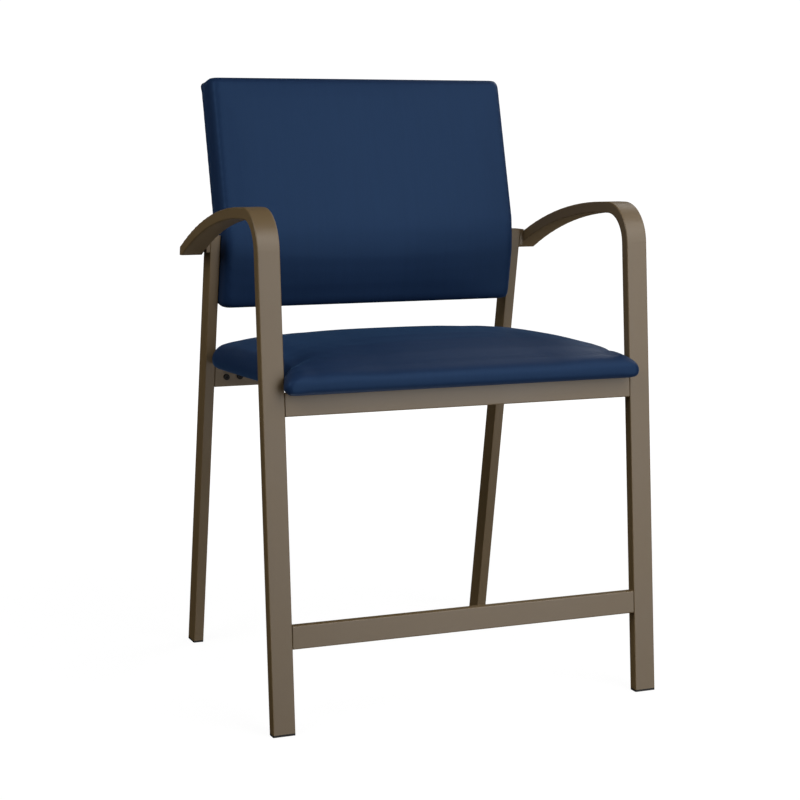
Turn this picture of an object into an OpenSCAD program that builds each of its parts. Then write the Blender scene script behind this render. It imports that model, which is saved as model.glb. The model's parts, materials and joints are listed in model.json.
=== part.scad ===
// Armchair with a raised seat: a frame of flat steel tube that carries a padded seat and a padded back.
// Millimetres. X runs across the chair, the sitter faces -Y, Z is up, and the feet stand at Z = 0.
// Left and right are as seen from the front, so left is -X.
// Each side frame is a bent tube, for front leg and arm, and a straight rear leg. Three cross rails are
// bolted onto stubs that are welded to the legs. The seat lies on the rails and on two bearers, and the
// back hangs between the rear legs on plates.

/* [Overall] */
// Width over the two arms
overall_width = 698.5; // [640:0.5:760]
// Depth on the floor, from the front of the front feet to the back of the rear feet
base_depth = 640; // [630:1:660]
// Height of the lower edge of the front seat rail, which carries the seat, the back and the arms up with it
front_rail_height = 511.3; // [400:0.1:560]

/* [Frame tube] */
// Wide face of the tube
tube_wide = 38.1; // [34:0.1:42]
// Narrow face of the tube
tube_thin = 19.05; // [17:0.05:22]
// Outer radius of the tube's long edges
tube_edge_radius = 2; // [1.7:0.1:3]
// Wall of the tube
tube_wall = 1.6; // [1.2:0.1:2]

/* [Front legs and arms] */
// Lean of the front legs, top to the rear
front_lean = 4.2; // [3:0.1:5.5]
// Radius of the tight bend from leg to arm, at the tube's centre
bend_radius = 62; // [50:1:75]
// Height of the arms' top above the tops of the rear legs
arm_rise = 62; // [50:1:80]
// Fall of the arm's centre from its top to the rear face of the rear legs, along its long curve
arm_fall = 83.9; // [75:0.1:100]
// Height of the flat cut under the rear end of each arm below the tops of the rear legs
arm_end_drop = 35.5; // [28:0.5:42]
// Thickness of the plate that closes the rear end of each arm
end_plate_thickness = 2; // [1.5:0.1:3]

/* [Rear legs] */
// Lean of the rear legs, top to the front
rear_lean = 10.7; // [9.5:0.1:12]
// Height of the tops of the rear legs above the place where the back is furthest forward
rear_leg_rise = 20; // [10:1:30]
// Thickness of the spacer welded between each arm and its rear leg
spacer_thickness = 6.35; // [4:0.05:9]
// Height of that spacer, down from the top of the leg
spacer_height = 30; // [20:1:38]
// Thickness of the plate that closes the top of each rear leg
leg_cap_thickness = 1.6; // [1.2:0.1:3]

/* [Rails] */
// Drop of the rear seat rail below the front one
rear_rail_drop = 11.5; // [4:0.1:20]
// Height of the lower edge of the front stretcher
stretcher_height = 138.4; // [90:0.1:220]
// Fine gap between each end of a rail and the leg
rail_end_gap = 0.7; // [0.4:0.1:0.9]
// Length of the stub inside each end of a rail
stub_length = 62; // [56:1:75]
// Wall of the stub
stub_wall = 3; // [2:0.1:4]
// Distance of the first bolt from the leg
bolt_first = 22; // [16:0.5:25]
// Spacing of the two bolts at each end
bolt_pitch = 25.4; // [20:0.2:27]

/* [Seat bearers] */
// Distance of each bearer's centre from the middle
bearer_offset = 165; // [120:1:190]
// Width and height of each bearer
bearer_size = 19; // [16:0.5:25]
// Distance from the front rail to the front screw, and from the rear rail to the rear one
bearer_screw_inset = 70; // [50:1:110]

/* [Fasteners] */
// Diameter of the bolts and screws
bolt_diameter = 6; // [5:0.1:6.5]
// Diameter of their round heads
head_diameter = 11; // [10:0.1:13]
// Height of their heads
head_height = 3.2; // [2.5:0.1:4]
// Width of the hexagonal socket in the head
socket_size = 4; // [3:0.1:5]
// Length of the rail bolts under the head
rail_bolt_length = 12; // [10:0.5:13]
// Diameter of a tee nut's flange
tee_flange_diameter = 19; // [16:0.5:22]
// Thickness of a tee nut's flange
tee_flange_thickness = 1.5; // [1:0.1:2]
// Diameter of a tee nut's barrel
tee_barrel_diameter = 8; // [7.6:0.1:9]
// Length of a tee nut with its flange
tee_length = 9; // [7:0.5:10.5]

/* [Feet] */
// Height of the glide that shows under each leg
glide_height = 3.5; // [2:0.5:6]
// Depth of the glide's plug inside the leg
glide_plug_depth = 22; // [15:1:35]

/* [Seat] */
// Gap between the seat and each front leg
seat_side_gap = 6.15; // [3:0.05:25]
// Distance of the seat's front edge behind the front of the front feet
seat_setback = 10.5; // [0:0.5:18]
// Widening of the seat's nose in front of the legs, on each side
seat_nose_flare = 11; // [0:0.5:14]
// Gap between the nose and the front faces of the front legs
seat_nose_gap = 2; // [1:0.5:6]
// Reach of the seat over the rear rail, behind the rail's front face
seat_rear_lap = 13.3; // [10.5:0.1:16]
// Height of the seat's middle above its underside
seat_crown_height = 75; // [60:0.5:90]
// Height of the seat's edge above its underside, where the crown begins
seat_edge_height = 47; // [38:0.5:50]
// Drop of the seat's corners below the rest of its edge
seat_corner_drop = 9; // [0:0.5:14]
// Height above the underside at which the seat is widest
seat_bulge_height = 16; // [12:0.5:20]
// Roll of the edge at the sides and the rear
seat_side_roll = 22; // [14:1:35]
// Roll of the edge at the front
seat_front_roll = 36; // [20:1:60]
// Radius of the lower edge
seat_lower_roll = 6; // [5:0.5:14]
// Radius of the front corners in plan
seat_front_radius = 12; // [9:1:40]
// Radius of the rear corners in plan, which pass the rear legs
seat_rear_radius = 62; // [61:1:85]
// Thickness of the seat board
seat_board_thickness = 15; // [12:0.5:18]
// Width of cover that turns under the seat board
seat_margin = 38; // [25:1:50]

/* [Back] */
// Height of the back, from its lowest edge to its top edge
back_rise = 410.2; // [340:0.2:500]
// Height of the back's lowest edge above the lower edge of the front seat rail
back_lift = 135.5; // [122:0.5:150]
// Height above that edge at which the back is furthest forward
lumbar_rise = 111.2; // [95:0.1:130]
// Widening of the back above the rear legs, on each side
back_flare = 1.9; // [0.5:0.1:9]
// Height over which the back widens there
back_flare_height = 24; // [10:1:60]
// Thickness of the back
back_thickness = 59.5; // [52:0.5:68]
// Recline of the upper part of the back
back_recline = 15; // [10:0.5:20]
// Radius of the back's forward bend, at its front face
lumbar_radius = 165; // [130:5:220]
// Radius of the back's corners seen from the front
back_corner_radius = 11; // [9:1:24]
// Roll of the front edge, seen from the front
back_roll_width = 11; // [7:0.5:16]
// Roll of the front edge, seen from the side
back_roll_depth = 28; // [18:0.5:34]
// Radius of the rear edge
back_rear_radius = 3; // [2:0.5:5]
// Swell of the front face in its middle
back_swell = 3; // [0:0.5:8]
// Thickness of the back board
back_board_thickness = 12; // [10.5:0.5:15]
// Distance of the board's edges from the edges of the back
back_board_margin = 5.6; // [5:0.1:10]
// Width of cover that turns behind the back board
back_margin = 14; // [8:1:18]
// Gap between the back and each rear leg
back_side_gap = 0.35; // [0.3:0.05:1.5]

/* [Back plates] */
// Thickness of the plates that carry the back
back_plate_thickness = 3; // [2:0.1:4]
// Width of each plate
back_plate_width = 45; // [40:1:60]
// Height of the lower edge of the plates above the back's lowest edge
back_plate_lift = 17.2; // [12:0.2:25]
// Distance of the screws from each rear leg
back_screw_inset = 28; // [27:0.5:32]
// Length of the screws that hold the back
back_screw_length = 14; // [12:0.5:15]

/* [Upholstery] */
// Thickness of the upholstery cover
cover_thickness = 1.2; // [0.8:0.1:1.5]
// Thickness of the panels that close the covers under the seat and behind the back
closing_thickness = 0.9; // [0.6:0.1:1.2]

/* [Hidden] */

// colours
FRAME = [0.46, 0.42, 0.36];
NAVY = [0.14, 0.22, 0.35];
BLACK = [0.08, 0.08, 0.09];
STEEL = [0.66, 0.67, 0.69];
WOOD = [0.78, 0.64, 0.44];
FOAM = [0.93, 0.87, 0.66];

// fineness of true round shapes
$fn = 48;
// fineness of the arm's long curve where it is drawn as a mesh
long_curve_fn = 360;
// overrun of every cut
over = 1;
// overlap of two stretches that are one piece
merge = 0.3;
// growth of the arm's tight bend over the straight and the long curve, which end inside it
merge_step = 0.003;
$grow = 0;
// clearance all round a stub or a plug inside its tube
slip = 0.15;
// clearance round a bolt in the hole that it passes
hole_clearance = 0.25;
// clearance round a bolt in the thread that holds it, which stands for the thread
thread_clearance = 0.05;
// clearance between a soft piece and what it lies on
soft_gap = 0.3;

// heights, each from the one below it
rear_rail_height = front_rail_height - rear_rail_drop;
back_bottom = front_rail_height + back_lift;
back_height = back_bottom + back_rise;
lumbar_height = back_bottom + lumbar_rise;
rear_leg_height = lumbar_height + rear_leg_rise;
arm_height = rear_leg_height + arm_rise;
arm_end_height = rear_leg_height - arm_end_drop;

// places in the side view
front_foot_y = -base_depth / 2;
rear_foot_y = front_foot_y + base_depth - tube_wide / cos(rear_lean);
function front_face_y(z) = front_foot_y + z * tan(front_lean);
function rear_face_y(z) = rear_foot_y - z * tan(rear_lean);

// places across the chair
front_inner_x = overall_width / 2 - tube_wide;
rear_outer_x = front_inner_x - spacer_thickness;
rear_inner_x = rear_outer_x - tube_thin;

// tight bend and long curve of the arm
bend_outer = bend_radius + tube_thin / 2;
bend_center_z = arm_height - bend_outer;
bend_center_y = front_face_y(bend_center_z) + bend_outer / cos(front_lean);
leg_run = (bend_center_z + bend_outer * sin(front_lean)) / cos(front_lean);
arm_reach = rear_face_y(arm_end_height) + tube_wide / cos(rear_lean) - bend_center_y;
arm_curve_radius = (arm_reach * arm_reach + arm_fall * arm_fall) / (2 * arm_fall);
curve_center_z = arm_height - tube_thin / 2 - arm_curve_radius;
arm_sweep = asin((arm_reach + tube_thin) / arm_curve_radius);
merge_angle = asin(merge / arm_curve_radius);

// a mirrored pair is drawn on the right, and side is -1 for the left one
module on_side(side) {
    mirror([side < 0 ? 1 : 0, 0, 0]) children();
}

// draws a side view: its first number runs to the rear, its second up, and it starts at x
module side_view(x, width) {
    translate([x, 0, 0]) rotate([90, 0, 90]) linear_extrude(width) children();
}

// a place on the front face of the front legs, with Y square to the face and Z along the leg
module on_front_legs(z = 0) {
    translate([0, front_face_y(z), z]) rotate([-front_lean, 0, 0]) children();
}

// the same on the front face of the rear legs
module on_rear_legs(z = 0) {
    translate([0, rear_face_y(z), z]) rotate([rear_lean, 0, 0]) children();
}

// slabs of the chair's size above and below a height
module above(z) {
    translate([-overall_width, -base_depth, z])
        cube([2 * overall_width, 2 * base_depth, back_height]);
}

module below(z) {
    mirror([0, 0, 1]) above(-z);
}

// everything that lies further back than the rear faces of the rear legs, less a depth
module behind_rear_legs(depth = 0) {
    on_rear_legs()
        translate([-overall_width, tube_wide - depth, -base_depth])
        cube([2 * overall_width, base_depth, back_height + 2 * base_depth]);
}

module rounded_rectangle(w, h, r) {
    square([w - 2 * r, h], center = true);
    square([w, h - 2 * r], center = true);
    for (x = [-1, 1], y = [-1, 1]) {
        translate([x * (w / 2 - r), y * (h / 2 - r)]) circle(r);
    }
}

// sections of the frame tube: narrow face first, wide face second
module tube_outline() {
    rounded_rectangle(tube_thin + 2 * $grow, tube_wide + 2 * $grow, tube_edge_radius + $grow);
}

module tube_bore(clearance = 0) {
    square([
        tube_thin - 2 * (tube_wall + clearance + $grow),
        tube_wide - 2 * (tube_wall + clearance + $grow)
    ], center = true);
}

module tube_section() {
    difference() {
        tube_outline();
        tube_bore();
    }
}

// bent tube: front leg, tight bend and long curve
module arm_path() {
    translate([overall_width / 2 - tube_wide / 2, 0, 0]) rotate([90, 0, 90]) {
        translate([front_foot_y, 0]) rotate(90 - front_lean)
            translate([-over, -tube_thin / 2, 0])
            rotate([90, 0, 90]) linear_extrude(leg_run + over + merge) children();
        translate([bend_center_y, bend_center_z]) rotate(90)
            rotate_extrude(angle = 90 - front_lean) translate([bend_radius, 0])
            let ($grow = merge_step) children();
        translate([bend_center_y, curve_center_z]) rotate(90 - arm_sweep)
            rotate_extrude(angle = arm_sweep + merge_angle, $fn = long_curve_fn)
            translate([arm_curve_radius, 0]) children();
    }
}

// what the two cuts at the arm's rear end take away, less a depth
module arm_end_cuts(depth = 0) {
    behind_rear_legs(depth);
    intersection() {
        below(arm_end_height + depth);
        translate([0, bend_center_y + bend_outer, 0]) cube([overall_width, base_depth, arm_height]);
    }
}

module arm_and_front_leg() {
    color(FRAME)
    difference() {
        arm_path() tube_section();
        below(glide_height);
        arm_end_cuts();
    }
}

module arm_end_plate() {
    color(FRAME)
    difference() {
        intersection() {
            arm_path() tube_bore();
            arm_end_cuts(end_plate_thickness);
        }
        arm_end_cuts();
    }
}

// a straight upright of any section on the rear leg's line
module rear_leg_bar() {
    on_rear_legs()
        translate([rear_inner_x + tube_thin / 2, tube_wide / 2, -tube_wide])
        linear_extrude(rear_leg_height + 2 * tube_wide) children();
}

module front_leg_bar() {
    on_front_legs()
        translate([front_inner_x + tube_wide / 2, tube_thin / 2, -tube_wide])
        linear_extrude(front_rail_height) rotate(90) children();
}

module rear_leg() {
    color(FRAME)
    difference() {
        rear_leg_bar() tube_section();
        below(glide_height);
        above(rear_leg_height);
    }
}

module rear_leg_cap() {
    color(FRAME)
    difference() {
        rear_leg_bar() tube_bore();
        below(rear_leg_height - leg_cap_thickness);
        above(rear_leg_height);
    }
}

module arm_spacer() {
    color(FRAME)
    difference() {
        on_rear_legs()
            translate([rear_outer_x, 0, 0])
            cube([spacer_thickness, tube_wide, rear_leg_height + tube_wide]);
        below(rear_leg_height - spacer_height);
        above(rear_leg_height);
    }
}

// glide under a leg: a foot of the leg's outline and a plug in its bore
module glide_foot() {
    difference() {
        children();
        below(0);
        above(glide_height);
    }
}

module glide_plug() {
    difference() {
        children();
        below(glide_height);
        above(glide_height + glide_plug_depth);
    }
}

module front_glide() {
    color(BLACK) {
        glide_foot() front_leg_bar() tube_outline();
        glide_plug() front_leg_bar() tube_bore(slip);
    }
}

module rear_glide() {
    color(BLACK) {
        glide_foot() rear_leg_bar() tube_outline();
        glide_plug() rear_leg_bar() tube_bore(slip);
    }
}

// screw that points down from the origin, with its round head above it
module screw(length) {
    difference() {
        union() {
            translate([0, 0, -length]) cylinder(d = bolt_diameter, h = length);
            cylinder(d = head_diameter, h = head_height);
        }
        translate([0, 0, head_height / 2])
            cylinder(d = socket_size / cos(30), h = head_height, $fn = 6);
    }
}

// places of the two bolts at each end of a rail whose ends meet legs at leg_x
module at_rail_bolts(leg_x, sides = [-1, 1]) {
    for (side = sides, k = [0, 1]) {
        translate([side * (leg_x - bolt_first - k * bolt_pitch), 0, tube_wide / 2]) children();
    }
}

// turns what points down the Z axis so that its head lies on the rail's front or rear face
module head_in_front() {
    rotate([90, 0, 0]) children();
}

module head_behind() {
    translate([0, tube_thin, 0]) rotate([-90, 0, 0]) children();
}

module bolt_hole(clearance) {
    translate([0, 0, -tube_thin / 2]) cylinder(d = bolt_diameter + 2 * clearance, h = tube_thin);
}

// rail between two legs, on the leg's face; children are its bolt holes
module rail(leg_x) {
    difference() {
        side_view(-leg_x + rail_end_gap, 2 * (leg_x - rail_end_gap))
            translate([tube_thin / 2, tube_wide / 2]) tube_section();
        children();
    }
}

// stub that is welded to the leg and reaches into the rail's end
module stub(leg_x) {
    color(FRAME)
    difference() {
        side_view(leg_x - stub_length, stub_length)
            translate([tube_thin / 2, tube_wide / 2])
            difference() {
                tube_bore(slip);
                tube_bore(slip + stub_wall);
            }
        children();
    }
}

module front_seat_rail() {
    color(FRAME)
    on_front_legs(front_rail_height)
        rail(front_inner_x) at_rail_bolts(front_inner_x) head_behind() bolt_hole(hole_clearance);
}

module front_stretcher() {
    color(FRAME)
    on_front_legs(stretcher_height)
        rail(front_inner_x) at_rail_bolts(front_inner_x) head_behind() bolt_hole(hole_clearance);
}

module rear_seat_rail() {
    color(FRAME)
    on_rear_legs(rear_rail_height)
        rail(rear_inner_x) at_rail_bolts(rear_inner_x) head_in_front() bolt_hole(hole_clearance);
}

module front_stub() {
    stub(front_inner_x) at_rail_bolts(front_inner_x, [1]) head_behind() bolt_hole(thread_clearance);
}

module rear_stub() {
    stub(rear_inner_x) at_rail_bolts(rear_inner_x, [1]) head_in_front() bolt_hole(thread_clearance);
}

module front_bolts() {
    color(BLACK) at_rail_bolts(front_inner_x) head_behind() screw(rail_bolt_length);
}

module rear_rail_bolts() {
    color(BLACK)
    on_rear_legs(rear_rail_height)
        at_rail_bolts(rear_inner_x) head_in_front() screw(rail_bolt_length);
}

// the seat's underside lies on the front rail's upper front edge and on the rear rail's top
front_rest_z = front_rail_height + tube_wide * cos(front_lean);
front_rest_y = front_face_y(front_rest_z);
rear_rail_top_z = rear_rail_height + tube_wide * cos(rear_lean);
seat_front_y = front_foot_y + seat_setback;
seat_depth = rear_face_y(rear_rail_top_z) + seat_rear_lap - seat_front_y;
rear_rest_y = seat_front_y + seat_depth - seat_lower_roll;
rear_rest_z = rear_rail_top_z + (rear_rest_y - rear_face_y(rear_rail_top_z)) * tan(rear_lean);
seat_tilt = atan((front_rest_z - rear_rest_z) / (rear_rest_y - front_rest_y));
seat_half_width = front_inner_x - seat_side_gap;
seat_half_depth = seat_depth / 2;
seat_center_y = seat_front_y + seat_half_depth * cos(seat_tilt) - seat_bulge_height * sin(seat_tilt);
seat_center_z = front_rest_z + soft_gap - (seat_center_y - front_rest_y) * tan(seat_tilt);

// a place on the seat's underside, with Z square to it
module on_seat() {
    translate([0, seat_center_y, seat_center_z]) rotate([-seat_tilt, 0, 0]) children();
}

// closed solid through rings of points, each end closed by a fan round its own middle
module fan_loft(rings) {
    n = len(rings[0]);
    last = len(rings) - 1;
    middles = [for (k = [0, last]) [for (axis = [0:2]) middle(rings[k], axis)]];
    polyhedron(
        points = concat([for (ring = rings) each ring], middles),
        faces = concat(
            wall_faces(n, last),
            [for (j = [0:n - 1]) [n * (last + 1), (j + 1) % n, j]],
            [for (j = [0:n - 1]) [n * (last + 1) + 1, n * last + j, n * last + (j + 1) % n]]
        )
    );
}

function middle(ring, axis) = (min([for (p = ring) p[axis]]) + max([for (p = ring) p[axis]])) / 2;

// triangles between each ring of n points and the next
function wall_faces(n, last) = [
    for (k = [0:last - 1], j = [0:n - 1], half = [0, 1])
        let (a = n * k + j, b = n * k + (j + 1) % n, c = a + n, d = b + n)
        half == 0 ? [a, b, c] : [b, d, c]
];

// closed solid through rings that are alike left and right, each end closed by cross bands, so that a
// curve along the rings is kept
module band_loft(rings) {
    n = len(rings[0]);
    last = len(rings) - 1;
    polyhedron(
        points = [for (ring = rings) each ring],
        faces = concat(wall_faces(n, last), band_faces(n, 0, false), band_faces(n, n * last, true))
    );
}

function band_faces(n, first, flip) = [
    for (j = [0:n / 2 - 2], half = [0, 1])
        let (a = first + j, b = first + j + 1, c = first + n - 1 - j, d = first + n - 2 - j)
        let (face = half == 0 ? [a, c, b] : [b, c, d])
        flip ? [face[2], face[1], face[0]] : face
];

function arc_points(cx, cy, r, from, to, count) = [
    for (i = [0:count])
        let (angle = from + (to - from) * i / count)
        [cx + r * cos(angle), cy + r * sin(angle)]
];

function mirrored_path(path) = concat(
    path, [for (i = [len(path) - 1:-1:0]) [-path[i][0], path[i][1]]]
);

// the nose stands in front of the legs, and behind it the seat is narrower
seat_nose_rear = front_rest_y - seat_nose_gap - seat_center_y;
seat_nose_front = seat_nose_rear - seat_nose_flare / 2;
function nose_share(y) = max(0, min(1, (seat_nose_rear - y) / (seat_nose_rear - seat_nose_front)));

// the seat's outline in plan, from the middle of its front edge round the right side to the rear
seat_front_corner_steps = 3;
seat_rear_corner_steps = 4;
seat_edge_steps = 4;
seat_side_steps = 6;
function seat_outline() = let (
    a = seat_half_width,
    b = seat_half_depth,
    rf = seat_front_radius,
    rr = seat_rear_radius,
    half = concat(
        [for (i = [0.5:seat_edge_steps - 0.5]) [(a - rf) * i / seat_edge_steps, -b]],
        arc_points(a - rf, -b + rf, rf, -90, 0, seat_front_corner_steps),
        [[a, seat_nose_front]],
        [for (i = [0:seat_side_steps - 1])
            [a, seat_nose_rear + (b - rr - seat_nose_rear) * i / seat_side_steps]],
        arc_points(a - rr, b - rr, rr, 0, 90, seat_rear_corner_steps),
        [for (i = [seat_edge_steps - 0.5:-1:0.5]) [(a - rr) * i / seat_edge_steps, b]]
    )
) mirrored_path(half);

// fullness of the seat's crown: higher is flatter in the middle
seat_crown_power = 3.2;
function seat_fall(share) = 1 - pow(min(abs(share), 1), seat_crown_power);
// how far the drop of a corner spreads: higher is closer to the corner
seat_corner_power = 4;

// one ring of the seat: insets at side and front, height, share of the plan, and the direction in
// which the surface faces there, outward and upward, along which a thinner skin is drawn in
function seat_ring(side_inset, front_inset, z, plan_share, out, up, depth) = let (
    a = seat_half_width,
    b = seat_half_depth,
    rise = seat_crown_height - seat_edge_height,
    in_side = side_inset + depth * out,
    in_front = front_inset + depth * out
) [
    for (p = seat_outline())
        let (in_y = p[1] < 0 ? in_front : in_side)
        let (half_width = a + seat_nose_flare * nose_share(p[1]))
        let (x = p[0] * (half_width - in_side) / a * plan_share)
        let (y = p[1] * (b - in_y) / b * plan_share)
        let (across = x / (a - seat_side_roll))
        let (along = y / (b - (y < 0 ? seat_front_roll : seat_side_roll)))
        let (crown = z < seat_edge_height ? 0 : rise * seat_fall(across) * seat_fall(along))
        let (edge_share = max(0, (z - seat_bulge_height) / (seat_edge_height - seat_bulge_height)))
        let (drop = seat_corner_drop * edge_share
            * pow(min(abs(across), 1) * min(abs(along), 1), seat_corner_power))
        [x, y, z - depth * up + crown - drop]
];

// the seat's skin at a depth under its outer face, from its widest place to the middle of its crown
seat_roll_angles = [0, 22, 44, 67, 90];
seat_plan_shares = [0.86, 0.62, 0.36, 0.12];
function seat_upper_rings(depth) = concat(
    [for (t = seat_roll_angles) seat_ring(
        seat_side_roll * (1 - cos(t)),
        seat_front_roll * (1 - cos(t)),
        seat_bulge_height + (seat_edge_height - seat_bulge_height) * sin(t),
        1, cos(t), sin(t), depth
    )],
    [for (share = seat_plan_shares) seat_ring(
        seat_side_roll, seat_front_roll, seat_edge_height, share, 0, 1, depth
    )]
);

// the same skin under the seat, from the inner edge of its margin to just below its widest place
function seat_lower_rings(depth) = concat(
    [seat_ring(
        seat_lower_roll + seat_margin, seat_lower_roll + seat_margin, 0, 1, 0, -1, depth
    )],
    [for (t = [0, 45]) seat_ring(
        seat_lower_roll * (1 - sin(t)),
        seat_lower_roll * (1 - sin(t)),
        seat_bulge_height * (1 - cos(t)),
        1, sin(t), -cos(t), depth
    )]
);

function reversed(list) = [for (i = [len(list) - 1:-1:0]) list[i]];

module seat_cover() {
    color(NAVY)
    on_seat()
        fan_loft(concat(
            reversed(seat_upper_rings(0)), reversed(seat_lower_rings(0)),
            seat_lower_rings(cover_thickness), seat_upper_rings(cover_thickness)
        ));
}

seat_board_low = cover_thickness + soft_gap;
seat_foam_low = seat_board_low + seat_board_thickness + soft_gap;
foam_depth = cover_thickness + soft_gap;

module seat_foam() {
    color(FOAM)
    on_seat()
        fan_loft(concat(
            reversed(seat_upper_rings(foam_depth)),
            [seat_ring(0, 0, seat_foam_low, 1, 1, 0, foam_depth)]
        ));
}

// the seat's plan drawn in all round, with its corners as true arcs
module seat_plan(inset) {
    a = seat_half_width - inset;
    b = seat_half_depth - inset;
    rf = max(seat_front_radius - inset, tube_edge_radius);
    rr = seat_rear_radius - inset;
    polygon([
        [a - rf, -b], [a, rf - b], [a, b - rr], [a - rr, b],
        [rr - a, b], [-a, b - rr], [-a, rf - b], [rf - a, -b]
    ]);
    for (side = [-1, 1]) {
        translate([side * (a - rf), rf - b]) circle(rf);
        translate([side * (a - rr), b - rr]) circle(rr);
    }
}

module seat_board() {
    color(WOOD)
    on_seat()
    difference() {
        translate([0, 0, seat_board_low])
            linear_extrude(seat_board_thickness) seat_plan(seat_lower_roll + foam_depth);
        at_bearer_screws() tee_nut_hole(seat_board_low + seat_board_thickness);
    }
}

module seat_dust_cover() {
    color(BLACK)
    on_seat()
    difference() {
        linear_extrude(closing_thickness)
            seat_plan(seat_lower_roll + seat_margin + soft_gap);
        at_bearer_screws() cylinder(d = tee_barrel_diameter, h = 2 * tube_thin, center = true);
    }
}

// seat bearers: tubes under the seat from the front rail to the rear rail
bearer_low = -bearer_size - soft_gap;
bearer_front_y = front_face_y(front_rail_height + tube_wide) + tube_thin - seat_center_y;
bearer_rear_y = rear_face_y(rear_rail_height + tube_wide) - seat_center_y;

// the room between the rear face of the front rail and the front face of the rear rail
module between_seat_rails() {
    difference() {
        translate([0, -base_depth, 0]) cube([overall_width, 2 * base_depth, arm_height]);
        on_front_legs() translate([-over, -base_depth, -base_depth])
            cube([overall_width + 2 * over, base_depth + tube_thin, 3 * base_depth]);
        on_rear_legs() translate([-over, 0, -base_depth])
            cube([overall_width + 2 * over, 2 * base_depth, 3 * base_depth]);
    }
}

module seat_bearer() {
    color(FRAME)
    difference() {
        intersection() {
            on_seat()
                translate([bearer_offset, base_depth / 2, bearer_low + bearer_size / 2])
                rotate([90, 0, 0]) linear_extrude(base_depth)
                difference() {
                    rounded_rectangle(bearer_size, bearer_size, tube_edge_radius);
                    square(bearer_size - 2 * tube_wall, center = true);
                }
            between_seat_rails();
        }
        on_seat() at_bearer_screws() cylinder(
            d = bolt_diameter + 2 * hole_clearance, h = 4 * bearer_size, center = true
        );
    }
}

module at_bearer_screws() {
    for (side = [-1, 1], y = [bearer_front_y + bearer_screw_inset, bearer_rear_y - bearer_screw_inset]) {
        translate([side * bearer_offset, y, 0]) children();
    }
}

// tee nut that is let into a board from above, with its flange's face at z
module tee_nut(z) {
    translate([0, 0, z])
    difference() {
        union() {
            translate([0, 0, -tee_flange_thickness])
                cylinder(d = tee_flange_diameter, h = tee_flange_thickness);
            translate([0, 0, -tee_length]) cylinder(d = tee_barrel_diameter, h = tee_length);
        }
        cylinder(d = bolt_diameter + 2 * thread_clearance, h = 3 * tee_length, center = true);
    }
}

module tee_nut_hole(z) {
    translate([0, 0, z]) {
        translate([0, 0, -tee_flange_thickness])
            cylinder(d = tee_flange_diameter + 2 * slip, h = 2 * tee_flange_thickness);
        cylinder(d = tee_barrel_diameter + 2 * slip, h = 6 * tee_length, center = true);
    }
}

module seat_tee_nuts() {
    color(STEEL) on_seat() at_bearer_screws() tee_nut(seat_board_low + seat_board_thickness);
}

seat_screw_length = seat_board_low + seat_board_thickness - bearer_low;

module seat_screws() {
    color(STEEL)
    on_seat()
        at_bearer_screws()
        translate([0, 0, bearer_low]) rotate([180, 0, 0]) screw(seat_screw_length);
}

// the back in side view: a straight part along the rear legs, a forward bend and a reclined part.
// A place in it is a run along the front face, zero where the face is furthest forward, and a depth
// behind the front face
back_half_width = rear_inner_x - back_side_gap;
back_behind_gap = back_plate_thickness + soft_gap;
back_center_z = lumbar_height;
back_center_y = rear_face_y(lumbar_height)
    + (tube_wide + lumbar_radius - back_behind_gap - back_thickness) / cos(rear_lean);
function bend_run(angle) = lumbar_radius * angle * PI / 180;
function bend_angle(run) = max(-rear_lean, min(back_recline, run / bend_run(1)));
function back_place(x, run, depth) = let (
    angle = bend_angle(run),
    rest = run - bend_run(angle),
    r = lumbar_radius - depth
) [
    x,
    back_center_y - r * cos(angle) + rest * sin(angle),
    back_center_z + r * sin(angle) + rest * cos(angle)
];

// the straight runs above and below the bend end where the rolled edge reaches the stated heights
function roll_reach(angle) = norm([back_roll_depth * sin(angle), back_roll_width * cos(angle)]);
back_upper_rest = back_roll_width + (back_height - back_center_z
    - (lumbar_radius - back_roll_depth) * sin(back_recline) - roll_reach(back_recline))
    / cos(back_recline);
back_lower_rest = back_roll_width + (back_center_z - back_bottom
    - (lumbar_radius - back_roll_depth) * sin(rear_lean) - roll_reach(rear_lean))
    / cos(rear_lean);
back_top_run = bend_run(back_recline) + back_upper_rest;
back_bottom_run = -bend_run(rear_lean) - back_lower_rest;

// the back's outline seen from the front, from its lower right corner up and round to the left
back_corner_steps = 4;
back_lower_steps = 2;
back_bend_steps = 6;
back_upper_steps = 4;
function steps_between(from, to, count) = [for (i = [1:count - 1]) from + (to - from) * i / count];
function back_half_at(run) = let (
    share = (back_place(0, run, 0)[2] - rear_leg_height) / back_flare_height,
    flare = max(0, min(1, share))
) back_half_width + back_flare * flare * flare * (3 - 2 * flare);

function back_outline() = let (
    w = back_half_width,
    w_top = back_half_at(back_top_run),
    r = back_corner_radius,
    low_bend = bend_run(-rear_lean),
    high_bend = bend_run(back_recline),
    runs = concat(
        steps_between(back_bottom_run + r, low_bend, back_lower_steps),
        [low_bend], steps_between(low_bend, high_bend, back_bend_steps), [high_bend],
        steps_between(high_bend, back_top_run - r, back_upper_steps)
    ),
    half = concat(
        arc_points(w - r, back_bottom_run + r, r, -90, 0, back_corner_steps),
        [for (run = runs) [back_half_at(run), run]],
        arc_points(w_top - r, back_top_run - r, r, 0, 90, back_corner_steps)
    )
) mirrored_path(half);

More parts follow.
